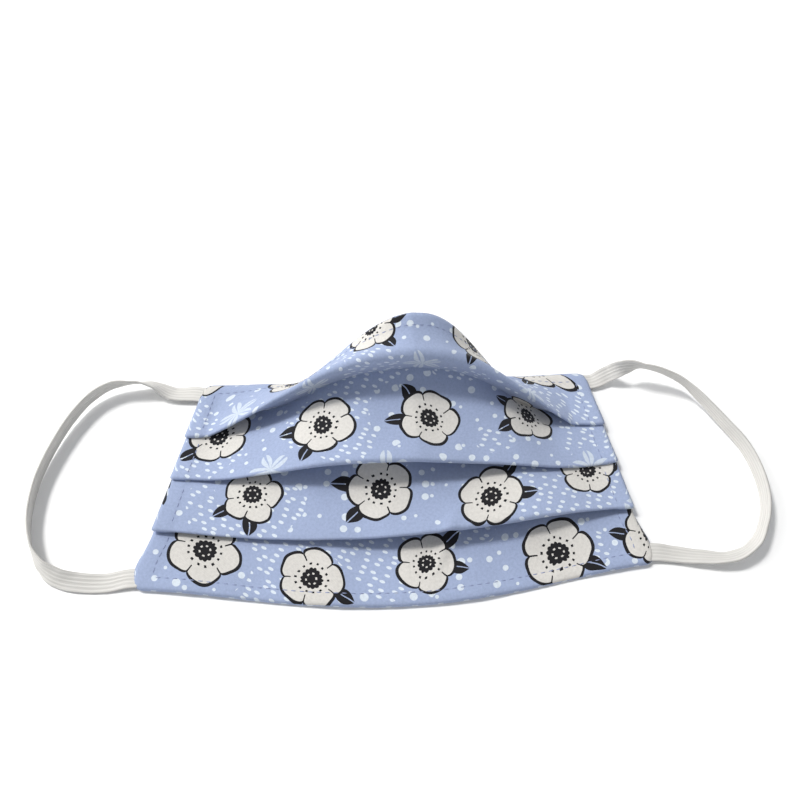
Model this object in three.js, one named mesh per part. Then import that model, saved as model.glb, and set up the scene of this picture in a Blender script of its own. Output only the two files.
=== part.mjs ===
import * as THREE from 'three';
import { mergeVertices } from 'three/addons/utils/BufferGeometryUtils.js';

// A pleated cloth face mask that lies face up on a table, with its pleats pulled open
// in the middle and its two ear loops fallen to the sides.
// Millimetres. X runs along the hems, Y from the bottom hem to the top hem, Z up.

// Cloth
const clothThickness = 1;
const layerGap = 0.3; // between the outer cloth and the lining, and inside a closed fold

// Mask as it is sewn, with its pleats closed at the two side seams
const bottomHemWidth = 193;
const foldedHeight = 89;
const pleatDepth = 12;
const hemAllowance = 6; // the strip below the stitches of the bottom hem, which lies flat
const cornerRadius = 4;

// Mask as it lies: the arched top hem draws the upper corners in, and the middle swells up
const domeRise = 40;
const leftDrawIn = 18.6;
const rightDrawIn = 8.6;
const leftSeamBow = 1; // 1 is a straight seam, and less leans in sooner
const rightSeamBow = 0.7;
const bottomHemSag = 11; // how far the middle of the bottom hem is pushed forwards
const seamFlare = 2; // how far the lower ends of the elastic spread the seams
const seamFlareHeight = 8.5; // of the widest place, above the bottom hem
const seamFlareReach = 7; // how far above and below it the spreading fades

// Elastic
const elasticWidth = 7;
const elasticThickness = 1.2;
const seatClearance = 0.9; // between the ends of the elastic and the edge of the cloth
const restClearance = 0.2; // keeps the twisting elastic off the table between its stations
const leftUpperInset = 4.6; // from the corner of the mask to the middle of the elastic
const leftLowerInset = 4.6;
const rightUpperInset = 4.3;
const rightLowerInset = 4.8;
const leftLoopReach = 43; // beyond the end of the bottom hem
const rightLoopReach = 53;
const leftLoopArch = 3; // how high the elastic springs above the table
const rightLoopArch = 7;

// Colours of the cloth and the elastic
const outerBlue = 0x9fb2dc;
const liningBlue = 0x9aaad2;
const elasticWhite = 0xe9e6e1;

const halfSandwich = clothThickness + layerGap / 2;
const foldRadius = clothThickness + layerGap;
const sheetLevel = halfSandwich; // the middle of the two cloths, where they lie on the table

// The top hem, as shares: slide of foldedHeight, rise of domeRise, feet and crests of the width
const topHem = {
  slide: 0.05, rise: 0.97, footLeft: 0.23, crestLeft: 0.53, crestRight: 0.55, footRight: 0.765,
  easeLeft: 1.5, easeRight: 1.1,
};

// One row for each pleat, from the top. The edge is a share of foldedHeight, at the left seam and at
// the right, and the softness a share of domeRise. Then, each between its own feet and crests:
// the slide of foldedHeight, the rise of domeRise and the opening in degrees. The rise is the
// height of the crest, whatever the height of the closed pleat at the seams.
const pleatRows = [
  {
    edge: 0.705, edgeRight: 0.69, softness: 0.04,
    slide: {
      by: 0.15, footLeft: 0.05, crestLeft: 0.52, crestRight: 0.55, footRight: 0.925,
      easeLeft: 1.15, easeRight: 1.1,
    },
    rise: {
      by: 0.9, footLeft: 0.05, crestLeft: 0.52, crestRight: 0.55, footRight: 0.925,
      easeLeft: 1.15, easeRight: 1.1,
    },
    opening: {
      by: 68, footLeft: 0.03, crestLeft: 0.25, crestRight: 0.8, footRight: 0.97,
      easeLeft: 1.5, easeRight: 1.5,
    },
  },
  {
    edge: 0.495, edgeRight: 0.487, softness: 0.02,
    slide: {
      by: -0.046, footLeft: 0, crestLeft: 0.3, crestRight: 0.8, footRight: 1,
      easeLeft: 1, easeRight: 1,
    },
    rise: {
      by: 0.44, footLeft: 0.05, crestLeft: 0.42, crestRight: 0.45, footRight: 0.97,
      easeLeft: 1.6, easeRight: 1.3,
    },
    opening: {
      by: 38, footLeft: 0.05, crestLeft: 0.45, crestRight: 0.5, footRight: 0.95,
      easeLeft: 1.5, easeRight: 1.5,
    },
  },
  {
    edge: 0.25, edgeRight: 0.254, softness: 0.02,
    slide: {
      by: -0.096, footLeft: 0, crestLeft: 0.5, crestRight: 0.55, footRight: 1,
      easeLeft: 1.1, easeRight: 1.6,
    },
    rise: {
      by: 0.225, footLeft: 0.1, crestLeft: 0.68, crestRight: 0.72, footRight: 1,
      easeLeft: 4, easeRight: 1.3,
    },
    opening: {
      by: 24, footLeft: 0.06, crestLeft: 0.6, crestRight: 0.75, footRight: 0.96,
      easeLeft: 1.5, easeRight: 1.5,
    },
  },
];

// The bottom hem's forward sag, as shares of the width
const hemRow = { footLeft: 0, crestLeft: 0.5, crestRight: 0.52, footRight: 1, easeLeft: 1.4, easeRight: 1.5 };

// How far each strip of cloth crowns between its folds, as a share of domeRise, from the top
const stripCrowns = [0.05, 0.08, 0.04, 0.02];

// Routes of the ear loops, from the upper end to the lower. Shares: out of the loop's reach,
// up of foldedHeight, arch of the loop's arch. The tilt is in degrees: 0 lies flat, 90 stands.
const leftRoute = [
  { out: -0.13, up: 0.964, arch: 0.2, tilt: 12 },
  { out: 0.058, up: 0.998, arch: 0.7, tilt: 40 },
  { out: 0.226, up: 1.002, arch: 1, tilt: 60 },
  { out: 0.445, up: 0.99, arch: 0.9, tilt: 76 },
  { out: 0.623, up: 0.935, arch: 0.6, tilt: 82 },
  { out: 0.77, up: 0.83, arch: 0.4, tilt: 84 },
  { out: 0.895, up: 0.68, arch: 0.2, tilt: 84 },
  { out: 0.979, up: 0.51, arch: 0.05, tilt: 84 },
  { out: 0.979, up: 0.33, arch: 0, tilt: 82 },
  { out: 0.906, up: 0.2, arch: 0, tilt: 78 },
  { out: 0.801, up: 0.12, arch: 0, tilt: 64 },
  { out: 0.655, up: 0.068, arch: 0, tilt: 36 },
  { out: 0.456, up: 0.045, arch: 0, tilt: 14 },
  { out: 0.236, up: 0.04, arch: 0, tilt: 4 },
];
const rightRoute = [
  { out: 0.012, up: 0.975, arch: 0.3, tilt: 24 },
  { out: 0.124, up: 0.968, arch: 0.85, tilt: 70 },
  { out: 0.277, up: 0.961, arch: 1, tilt: 116 },
  { out: 0.44, up: 0.932, arch: 0.85, tilt: 114 },
  { out: 0.582, up: 0.885, arch: 0.6, tilt: 110 },
  { out: 0.7045, up: 0.793, arch: 0.38, tilt: 98 },
  { out: 0.827, up: 0.67, arch: 0.18, tilt: 91 },
  { out: 0.934, up: 0.545, arch: 0.05, tilt: 87 },
  { out: 0.9745, up: 0.405, arch: 0, tilt: 85 },
  { out: 0.949, up: 0.26, arch: 0, tilt: 84 },
  { out: 0.857, up: 0.14, arch: 0, tilt: 78 },
  { out: 0.735, up: 0.055, arch: 0, tilt: 60 },
  { out: 0.562, up: 0.012, arch: 0, tilt: 40 },
  { out: 0.348, up: 0.022, arch: 0, tilt: 22 },
  { out: 0.1645, up: 0.042, arch: 0, tilt: 8 },
];

// Fineness of the facets
const stationCount = 24;
const arcSteps = 4;
const stripSteps = 3;
const elasticSteps = 46;

const degrees = Math.PI / 180;
const clamp01 = (value) => Math.min(1, Math.max(0, value));

// Share of a swelling reached at a place along the width: 0 outside its feet, 1 between its crests
function swell(share, { footLeft, crestLeft, crestRight, footRight, easeLeft, easeRight }) {
  const climb = clamp01((share - footLeft) / (crestLeft - footLeft));
  const fall = clamp01((footRight - share) / (footRight - crestRight));
  return climb < 1
    ? Math.sin((Math.PI / 2) * climb) ** easeLeft
    : Math.sin((Math.PI / 2) * fall) ** easeRight;
}

// Left and right ends of the cloth at a height above the bottom hem
function seamX(height, side) {
  const level = clamp01(height / foldedHeight);
  const flare = seamFlare * Math.exp(-(((height - seamFlareHeight) / seamFlareReach) ** 2));
  return side === 'left'
    ? leftDrawIn * level ** leftSeamBow - flare
    : bottomHemWidth - rightDrawIn * level ** rightSeamBow + flare;
}

// How far the rounded corners cut into a hem, at a place along the width
function cornerCut(share) {
  const fromEnd = Math.min(share, 1 - share) * bottomHemWidth;
  const inside = Math.max(0, cornerRadius - fromEnd);
  return cornerRadius - Math.sqrt(cornerRadius ** 2 - inside ** 2);
}

// Turns a flat vector { y, z } by an angle, anticlockwise with Y to the right and Z up
function turned(vector, angle) {
  return {
    y: vector.y * Math.cos(angle) - vector.z * Math.sin(angle),
    z: vector.y * Math.sin(angle) + vector.z * Math.cos(angle),
  };
}

// Closed pleats lie on each other like shingles. Each strip climbs over the two layers of cloth
// of the pleat below it, so this is the slope that keeps the three layers clear of each other.
function shingleSlope(pitch) {
  return (4 * foldRadius + layerGap) / pitch;
}

// The rollers that the cloth runs round at one place along the width: the top hem's end, an
// upper and a lower roller for each pleat, and the two ends of the bottom hem's flat strip.
// Rollers with a side of 1 are passed anticlockwise and those with -1 clockwise.
function rollersAt(share) {
  const topSwell = swell(share, topHem);
  const edges = pleatRows.map((row) => foldedHeight * THREE.MathUtils.lerp(row.edge, row.edgeRight, share));
  const firstPitch = edges[0] - edges[1];
  const topStrip = foldedHeight - edges[0];
  const hemLevel = sheetLevel + shingleSlope(firstPitch) * (firstPitch + pleatDepth - topStrip);
  const rollers = [{
    y: foldedHeight * (1 + topHem.slide * topSwell) - cornerCut(share),
    z: THREE.MathUtils.lerp(hemLevel, sheetLevel + domeRise * topHem.rise, topSwell),
    radius: 0,
    side: 0,
  }];
  pleatRows.forEach((row, index) => {
    const pitch = index > 0 ? edges[index - 1] - edges[index] : firstPitch;
    const closedLevel = sheetLevel + shingleSlope(pitch) * (pitch + pleatDepth) - foldRadius;
    const lift = swell(share, row.rise);
    const openness = swell(share, row.opening);
    const softening = domeRise * row.softness * lift ** 3;
    const radius = foldRadius + softening;
    const upper = {
      y: edges[index] + foldedHeight * row.slide.by * swell(share, row.slide) + radius,
      z: THREE.MathUtils.lerp(closedLevel, sheetLevel + domeRise * row.rise.by, lift) - softening,
      radius,
      side: 1,
    };
    const closedUnder = { y: pleatDepth, z: sheetLevel + foldRadius - closedLevel - softening };
    const openedUnder = turned({ y: pleatDepth, z: -radius - foldRadius }, -row.opening.by * degrees);
    const under = {
      y: THREE.MathUtils.lerp(closedUnder.y, openedUnder.y, openness),
      z: THREE.MathUtils.lerp(closedUnder.z, openedUnder.z, openness),
    };
    rollers.push(upper, {
      y: upper.y + under.y,
      z: Math.max(upper.z + under.z, sheetLevel + foldRadius),
      radius: foldRadius,
      side: -1,
    });
  });
  const hemEdge = -bottomHemSag * swell(share, hemRow) + cornerCut(share);
  rollers.push(
    { y: hemEdge + hemAllowance, z: sheetLevel, radius: 0, side: 0 },
    { y: hemEdge, z: sheetLevel, radius: 0, side: 0 },
  );
  return rollers;
}

// The straight stretch from one roller to the next, like a belt between two pulleys
function stretchBetween(from, to) {
  const gap = { y: to.y - from.y, z: to.z - from.z };
  const distance = Math.hypot(gap.y, gap.z);
  const sideways = from.side * from.radius - to.side * to.radius;
  const direction = turned(
    { y: gap.y / distance, z: gap.z / distance },
    Math.asin(Math.min(1, Math.max(-1, sideways / distance))),
  );
  const outward = { y: direction.z, z: -direction.y };
  const leave = {
    y: from.y + outward.y * from.side * from.radius,
    z: from.z + outward.z * from.side * from.radius,
  };
  const arrive = { y: to.y + outward.y * to.side * to.radius, z: to.z + outward.z * to.side * to.radius };
  return { leave, arrive, direction, outward };
}

// Points of the path round one roller, between the stretch before it and the stretch after it
function arcPoints(roller, before, after) {
  const start = Math.atan2(before.outward.z * roller.side, before.outward.y * roller.side);
  const end = Math.atan2(after.outward.z * roller.side, after.outward.y * roller.side);
  let turn = (end - start) * roller.side;
  while (turn < -Math.PI / 2) turn += 2 * Math.PI;
  while (turn > 1.5 * Math.PI) turn -= 2 * Math.PI;
  return Array.from({ length: arcSteps + 1 }, (_, step) => {
    const angle = start + (roller.side * turn * step) / arcSteps;
    return { y: roller.y + roller.radius * Math.cos(angle), z: roller.z + roller.radius * Math.sin(angle) };
  });
}

// The line midway between the outer cloth and the lining, from the top hem to the bottom hem
function sectionAt(share) {
  const rollers = rollersAt(share);
  const stretches = rollers.slice(1).map((to, index) => stretchBetween(rollers[index], to));
  const lift = swell(share, topHem);
  const path = [];
  stretches.forEach((stretch, index) => {
    if (index > 0) {
      const roller = rollers[index];
      path.push(...(roller.radius > 0 ? arcPoints(roller, stretches[index - 1], stretch) : [stretch.leave]));
    } else {
      path.push(stretch.leave);
    }
    const isStrip = index % 2 === 0 && index < 2 * stripCrowns.length;
    if (!isStrip) return;
    const crown = domeRise * stripCrowns[index / 2] * lift;
    for (let step = 1; step < stripSteps; step += 1) {
      const along = step / stripSteps;
      const bulge = 4 * crown * along * (1 - along);
      path.push({
        y: THREE.MathUtils.lerp(stretch.leave.y, stretch.arrive.y, along) + stretch.direction.z * bulge,
        z: THREE.MathUtils.lerp(stretch.leave.z, stretch.arrive.z, along) - stretch.direction.y * bulge,
      });
    }
  });
  path.push(stretches.at(-1).arrive);
  return path.map(({ y, z }) => new THREE.Vector3(
    THREE.MathUtils.lerp(seamX(y, 'left'), seamX(y, 'right'), share), y, z,
  ));
}

// Places of the sections along the width, closer together at the rounded corners
function stationShares() {
  const corner = cornerRadius / bottomHemWidth;
  const inner = Array.from({ length: stationCount - 3 }, (_, index) => (
    corner + ((1 - 2 * corner) * index) / (stationCount - 4)
  ));
  return [0, corner * 0.3, ...inner, 1 - corner * 0.3, 1];
}

// Unit normals of the middle surface, on the side of the outer cloth. The two ends of the bottom
// hem's strip share the strip's own slope, so that it lies quite flat.
function gridNormals(grid) {
  return grid.map((section, i) => section.map((_, j) => {
    const across = new THREE.Vector3().subVectors(
      grid[Math.min(i + 1, grid.length - 1)][j],
      grid[Math.max(i - 1, 0)][j],
    );
    const next = Math.min(j + 1, section.length - 1);
    const previous = next === section.length - 1 ? next - 1 : Math.max(j - 1, 0);
    const along = new THREE.Vector3().subVectors(section[next], section[previous]);
    return along.cross(across).normalize();
  }));
}

function closedGeometry(points, triangles) {
  const geometry = new THREE.BufferGeometry();
  geometry.setAttribute('position', new THREE.Float32BufferAttribute(points.flatMap((p) => p.toArray()), 3));
  geometry.setIndex(triangles.flat());
  return mergeVertices(geometry, 1e-5);
}

// A sheet of cloth between two offsets from the middle surface
function sheetGeometry(grid, normals, nearOffset, farOffset) {
  const rows = grid.length;
  const columns = grid[0].length;
  const points = [];
  for (const offset of [farOffset, nearOffset]) {
    grid.forEach((section, i) => section.forEach((point, j) => {
      points.push(point.clone().addScaledVector(normals[i][j], offset));
    }));
  }
  const top = (i, j) => i * columns + j;
  const bottom = (i, j) => rows * columns + top(i, j);
  const triangles = [];
  const quad = (a, b, c, d) => triangles.push([a, b, c], [a, c, d]);
  for (let i = 0; i < rows - 1; i += 1) {
    for (let j = 0; j < columns - 1; j += 1) {
      quad(top(i, j), top(i, j + 1), top(i + 1, j + 1), top(i + 1, j));
      quad(bottom(i, j), bottom(i + 1, j), bottom(i + 1, j + 1), bottom(i, j + 1));
    }
    quad(top(i, 0), top(i + 1, 0), bottom(i + 1, 0), bottom(i, 0));
    quad(top(i + 1, columns - 1), top(i, columns - 1), bottom(i, columns - 1), bottom(i + 1, columns - 1));
  }
  for (let j = 0; j < columns - 1; j += 1) {
    quad(top(0, j + 1), top(0, j), bottom(0, j), bottom(0, j + 1));
    quad(top(rows - 1, j), top(rows - 1, j + 1), bottom(rows - 1, j + 1), bottom(rows - 1, j));
  }
  return closedGeometry(points, triangles);
}

// Where the elastic meets a side seam, and the way straight out of the cloth there
function seamExit(side, height) {
  const outward = side === 'left' ? -1 : 1;
  const step = 0.5;
  const lean = (seamX(height + step, side) - seamX(height - step, side)) / (2 * step);
  const away = new THREE.Vector3(outward, -outward * lean, 0).normalize();
  const seam = sectionAt(side === 'left' ? 0 : 1);
  const below = seam.findIndex((point, j) => j > 0 && point.y <= height && seam[j - 1].y > height);
  const part = (height - seam[below].y) / (seam[below - 1].y - seam[below].y);
  const edge = seam[below].clone().lerp(seam[below - 1], part);
  return { away, start: edge.addScaledVector(away, seatClearance) };
}

// The middle of the elastic must stay this high for its tilted edge to rest on the table
function restingHeight(tilt) {
  const halfWidth = (elasticWidth / 2) * Math.sin(tilt);
  const halfThickness = (elasticThickness / 2) * Math.abs(Math.cos(tilt));
  return halfWidth + halfThickness;
}

// The elastic's route as stations with a place and a tilt
function loopStations(side, route, reach, arch) {
  const outward = side === 'left' ? -1 : 1;
  const hemEnd = side === 'left' ? 0 : bottomHemWidth;
  const upper = seamExit(side, foldedHeight - (side === 'left' ? leftUpperInset : rightUpperInset));
  const lower = seamExit(side, side === 'left' ? leftLowerInset : rightLowerInset);
  const leadOut = elasticWidth * 0.6;
  const places = [upper.start, upper.start.clone().addScaledVector(upper.away, leadOut)];
  const tilts = [0, 0];
  for (const row of route) {
    const tilt = row.tilt * degrees;
    const height = restingHeight(tilt) + restClearance + arch * row.arch;
    places.push(new THREE.Vector3(hemEnd + outward * reach * row.out, foldedHeight * row.up, height));
    tilts.push(tilt);
  }
  places.push(lower.start.clone().addScaledVector(lower.away, leadOut), lower.start);
  tilts.push(0, 0);
  return { curve: new THREE.CatmullRomCurve3(places, false, 'centripetal'), tilts, upper, lower };
}

// A flat band swept along a route, twisted by the tilts
function bandGeometry({ curve, tilts, upper, lower }) {
  const points = [];
  const up = new THREE.Vector3(0, 0, 1);
  for (let step = 0; step <= elasticSteps; step += 1) {
    const along = step / elasticSteps;
    const place = curve.getPoint(along);
    const tangent = curve.getTangent(along);
    if (step === 0) tangent.copy(upper.away);
    if (step === elasticSteps) tangent.copy(lower.away).negate();
    const cell = along * (tilts.length - 1);
    const first = Math.min(Math.floor(cell), tilts.length - 2);
    const share = THREE.MathUtils.smoothstep(cell - first, 0, 1);
    const tilt = THREE.MathUtils.lerp(tilts[first], tilts[first + 1], share);
    const level = new THREE.Vector3().crossVectors(up, tangent).normalize();
    const square = new THREE.Vector3().crossVectors(tangent, level);
    const widthWay = level.clone().multiplyScalar(Math.cos(tilt)).addScaledVector(square, Math.sin(tilt));
    const thickWay = new THREE.Vector3().crossVectors(tangent, widthWay);
    for (const [w, t] of [[-1, -1], [1, -1], [1, 1], [-1, 1]]) {
      points.push(place.clone()
        .addScaledVector(widthWay, (w * elasticWidth) / 2)
        .addScaledVector(thickWay, (t * elasticThickness) / 2));
    }
  }
  const triangles = [];
  const quad = (a, b, c, d) => triangles.push([a, b, c], [a, c, d]);
  for (let step = 0; step < elasticSteps; step += 1) {
    for (let k = 0; k < 4; k += 1) {
      const a = step * 4 + k;
      const b = step * 4 + ((k + 1) % 4);
      quad(a, b, b + 4, a + 4);
    }
  }
  const last = elasticSteps * 4;
  quad(3, 2, 1, 0);
  quad(last, last + 1, last + 2, last + 3);
  return closedGeometry(points, triangles);
}

function namedMesh(name, geometry, colour, roughness) {
  const material = new THREE.MeshStandardMaterial({ color: colour, roughness, metalness: 0 });
  const mesh = new THREE.Mesh(geometry, material);
  mesh.name = name;
  return mesh;
}

const grid = stationShares().map(sectionAt);
const normals = gridNormals(grid);
const leftLoop = loopStations('left', leftRoute, leftLoopReach, leftLoopArch);
const rightLoop = loopStations('right', rightRoute, rightLoopReach, rightLoopArch);

const mask = new THREE.Group();
mask.add(
  namedMesh('outer_panel', sheetGeometry(grid, normals, layerGap / 2, halfSandwich), outerBlue, 0.9),
  namedMesh('lining_panel', sheetGeometry(grid, normals, -halfSandwich, -layerGap / 2), liningBlue, 0.9),
  namedMesh('ear_loop_left', bandGeometry(leftLoop), elasticWhite, 0.75),
  namedMesh('ear_loop_right', bandGeometry(rightLoop), elasticWhite, 0.75),
);

// The origin is the middle of the space that the mask takes up, on the table
const bounds = new THREE.Box3().setFromObject(mask);
const middle = bounds.getCenter(new THREE.Vector3());
for (const piece of mask.children) piece.position.set(-middle.x, -middle.y, -bounds.min.z);

export default mask;
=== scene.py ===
import math
import bpy
import bmesh
from mathutils import Matrix, Vector, noise


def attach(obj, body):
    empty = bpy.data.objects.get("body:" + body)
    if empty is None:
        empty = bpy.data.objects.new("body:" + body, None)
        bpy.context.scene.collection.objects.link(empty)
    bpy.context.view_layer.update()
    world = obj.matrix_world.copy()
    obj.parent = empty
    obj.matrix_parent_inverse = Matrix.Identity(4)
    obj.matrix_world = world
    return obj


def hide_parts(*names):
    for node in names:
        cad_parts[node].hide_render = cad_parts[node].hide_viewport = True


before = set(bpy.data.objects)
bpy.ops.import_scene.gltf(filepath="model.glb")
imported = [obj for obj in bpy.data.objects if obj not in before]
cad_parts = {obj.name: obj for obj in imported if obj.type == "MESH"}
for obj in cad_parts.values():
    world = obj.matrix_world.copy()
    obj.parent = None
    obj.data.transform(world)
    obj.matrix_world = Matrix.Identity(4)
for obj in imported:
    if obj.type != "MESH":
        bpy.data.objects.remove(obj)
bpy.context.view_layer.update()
mm = 0.001

# The shapes are worked out in mm from the left end of the bottom hem, with X along the hem,
# Y up the mask and Z up from the table. This is where that corner lies in the row's frame.
hemCorner = Vector((-100.99, -41.36, 0.0))


def toFrame(point):
    return (point + hemCorner) * mm


# Camera, at the photograph's angle

view = {
    "place": Vector((81.1, -99.7, 267.6)),
    "right": Vector((0.9973, -0.0652, 0.0335)),
    "up": Vector((0.0354, 0.8288, 0.5585)),
    "lens": 33.75,
    "sensor": 36.0,
}


def addCamera():
    camera = bpy.data.objects.new("camera", bpy.data.cameras.new("camera"))
    bpy.context.scene.collection.objects.link(camera)
    right = view["right"].normalized()
    up = (view["up"] - right * view["up"].dot(right)).normalized()
    turn = Matrix((right, up, right.cross(up))).transposed()
    camera.matrix_world = Matrix.Translation(toFrame(view["place"])) @ turn.to_4x4()
    camera.data.sensor_fit = "HORIZONTAL"
    camera.data.sensor_width = view["sensor"]
    camera.data.lens = view["lens"]
    camera.data.clip_start = 0.01
    bpy.context.scene.camera = camera


addCamera()
print("camera placed")

# The cloth, folded like a belt round pulleys

cloth = {
    "width": 193.0,
    "height": 89.0,            # folded, from hem to hem
    "pleatDepth": 12.0,
    "flatLength": 162.0,       # from hem to hem with the pleats let out
    "thickness": 0.32,
    "layerGap": 0.06,          # between the outer cloth and the lining
    "foldRadius": 0.45,
    "level": 0.82,             # middle of the two cloths where they lie on the table
    "allowance": 6.0,
    "cornerRadius": 4.0,
    "rise": 40.0,              # height of the dome
    "leftDrawIn": 18.6,
    "rightDrawIn": 8.6,
    "leftBow": 1.0,
    "rightBow": 0.7,
    "flare": 2.0,              # the lower ends of the elastic spread the seams
    "flareHeight": 8.5,
    "flareReach": 7.0,
    "hemSag": 11.0,
    "pleatStack": 4.3,         # height of a closed pleat's layers, in fold radii
    "openEase": (1.5, 1.5),
    "stations": 190,
    "arcSteps": 7,
    "stripSteps": 13,
    "underSteps": 4,
}
faceOffset = cloth["layerGap"] / 2 + cloth["thickness"]   # from the middle surface to a face

# Shares of the cloth's height (edges at the two seams, slide), of the dome's rise (rise,
# softness, crown) and of the width (feet and crests); angles in degrees
topHem = {
    "slide": 0.05, "rise": 0.97,
    "feet": (0.23, 0.765), "crests": (0.53, 0.55), "ease": (1.5, 1.1),
}
pleats = [
    {
        "edges": (0.705, 0.69),
        "slide": 0.15, "slideFeet": (0.05, 0.925), "slideCrests": (0.52, 0.55), "slideEase": (1.15, 1.1),
        "rise": 0.9, "riseFeet": (0.05, 0.925), "riseCrests": (0.52, 0.55), "riseEase": (1.15, 1.1),
        "softness": 0.06, "opening": 68, "openFeet": (0.03, 0.97), "openCrests": (0.25, 0.8),
    },
    {
        "edges": (0.495, 0.487),
        "slide": -0.046, "slideFeet": (0.0, 1.0), "slideCrests": (0.3, 0.8), "slideEase": (1.0, 1.0),
        "rise": 0.44, "riseFeet": (0.05, 0.97), "riseCrests": (0.42, 0.45), "riseEase": (1.6, 1.3),
        "softness": 0.02, "opening": 38, "openFeet": (0.05, 0.95), "openCrests": (0.45, 0.5),
    },
    {
        "edges": (0.25, 0.254),
        "slide": -0.096, "slideFeet": (0.0, 1.0), "slideCrests": (0.5, 0.55), "slideEase": (1.1, 1.6),
        "rise": 0.225, "riseFeet": (0.1, 1.0), "riseCrests": (0.68, 0.72), "riseEase": (4.0, 1.3),
        "softness": 0.02, "opening": 24, "openFeet": (0.06, 0.96), "openCrests": (0.6, 0.75),
    },
]
hemSagShape = {"feet": (0.0, 1.0), "crests": (0.5, 0.52), "ease": (1.4, 1.5)}
stripCrowns = [0.05, 0.08, 0.04, 0.02]

# Small relief of worn cloth, added to the height of every layer alike
relief = {
    "creaseX": 0.55,          # the pressed crease down the middle, as a share of the width
    "creaseHeight": 1.1,
    "creaseReach": 9.0,
    "creaseUp": (18.0, 60.0),  # it fades in between these heights
    "waves": [(34.0, 1.1, 3.0), (13.0, 0.45, 11.0)],   # length, height, seed
    "waveShare": 0.35,         # lifts the waves, which are cut off below nothing
    "waveStretch": 0.8,
    "dentPlace": (114.0, 11.0),
    "dentTurn": 62.0,
    "dentSize": (9.0, 2.6),
    "dentHeight": 1.5,
}


def mix(a, b, share):
    return a + (b - a) * share


def smooth(low, high, value):
    share = min(1.0, max(0.0, (value - low) / (high - low)))
    return share * share * (3.0 - 2.0 * share)


def swell(share, feet, crests, ease):
    climb = min(1.0, max(0.0, (share - feet[0]) / max(crests[0] - feet[0], 1e-6)))
    fall = min(1.0, max(0.0, (feet[1] - share) / max(feet[1] - crests[1], 1e-6)))
    if climb < 1.0:
        return math.sin(math.pi / 2 * climb) ** ease[0]
    return math.sin(math.pi / 2 * fall) ** ease[1]


def seamX(height, side):
    level = min(1.0, max(0.0, height / cloth["height"]))
    flare = cloth["flare"] * math.exp(-((height - cloth["flareHeight"]) / cloth["flareReach"]) ** 2)
    if side == "left":
        return cloth["leftDrawIn"] * level ** cloth["leftBow"] - flare
    return cloth["width"] - cloth["rightDrawIn"] * level ** cloth["rightBow"] + flare


def cornerCut(share):
    fromEnd = min(share, 1.0 - share) * cloth["width"]
    inside = max(0.0, cloth["cornerRadius"] - fromEnd)
    return cloth["cornerRadius"] - math.sqrt(cloth["cornerRadius"] ** 2 - inside ** 2)


def turned(vector, angle):
    return Vector((
        vector.x * math.cos(angle) - vector.y * math.sin(angle),
        vector.x * math.sin(angle) + vector.y * math.cos(angle),
    ))


# Rollers at one place along the width, as (centre, radius, side), from the top hem down
def rollersAt(share):
    height, fold, level = cloth["height"], cloth["foldRadius"], cloth["level"]
    topSwell = swell(share, topHem["feet"], topHem["crests"], topHem["ease"])
    edges = [height * mix(*pleat["edges"], share) for pleat in pleats]
    pitch = edges[0] - edges[1]
    stack = cloth["pleatStack"] * fold
    topLevel = level + stack / pitch * (pitch + cloth["pleatDepth"] - height + edges[0])
    rollers = [(
        Vector((
            height * (1 + topHem["slide"] * topSwell) - cornerCut(share),
            mix(topLevel, level + cloth["rise"] * topHem["rise"], topSwell),
        )), 0.0, 0,
    )]
    for index, pleat in enumerate(pleats):
        pitch = edges[index - 1] - edges[index] if index else edges[0] - edges[1]
        closedLevel = level + stack / pitch * (pitch + cloth["pleatDepth"]) - fold
        lift = swell(share, pleat["riseFeet"], pleat["riseCrests"], pleat["riseEase"])
        shift = swell(share, pleat["slideFeet"], pleat["slideCrests"], pleat["slideEase"])
        openness = swell(share, pleat["openFeet"], pleat["openCrests"], cloth["openEase"])
        softening = cloth["rise"] * pleat["softness"] * lift ** 3
        radius = fold + softening
        upper = Vector((
            edges[index] + height * pleat["slide"] * shift + radius,
            mix(closedLevel, level + cloth["rise"] * pleat["rise"], lift) - softening,
        ))
        closed = Vector((cloth["pleatDepth"], level + fold - closedLevel - softening))
        opened = turned(Vector((cloth["pleatDepth"], -radius - fold)), -math.radians(pleat["opening"]))
        lower = upper + closed.lerp(opened, openness)
        lower.y = max(lower.y, level + fold)
        rollers += [(upper, radius, 1), (lower, fold, -1)]
    hemEdge = cornerCut(share) - cloth["hemSag"] * swell(
        share, hemSagShape["feet"], hemSagShape["crests"], hemSagShape["ease"])
    rollers += [
        (Vector((hemEdge + cloth["allowance"], level)), 0.0, 0),
        (Vector((hemEdge, level)), 0.0, 0),
    ]
    return rollers


# The straight run between two rollers: where it leaves, where it arrives, its way and its outside
def stretchBetween(first, second):
    gap = second[0] - first[0]
    sideways = first[2] * first[1] - second[2] * second[1]
    way = turned(gap.normalized(), math.asin(min(1.0, max(-1.0, sideways / gap.length))))
    outside = Vector((way.y, -way.x))
    leave = first[0] + outside * first[2] * first[1]
    arrive = second[0] + outside * second[2] * second[1]
    return leave, arrive, way, outside


def arcPoints(roller, before, after):
    centre, radius, side = roller
    start = math.atan2(before[3].y * side, before[3].x * side)
    end = math.atan2(after[3].y * side, after[3].x * side)
    turn = (end - start) * side
    while turn < -math.pi / 2:
        turn += 2 * math.pi
    while turn > 1.5 * math.pi:
        turn -= 2 * math.pi
    angles = [start + side * turn * step / cloth["arcSteps"] for step in range(cloth["arcSteps"] + 1)]
    return [centre + radius * Vector((math.cos(angle), math.sin(angle))) for angle in angles]


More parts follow.
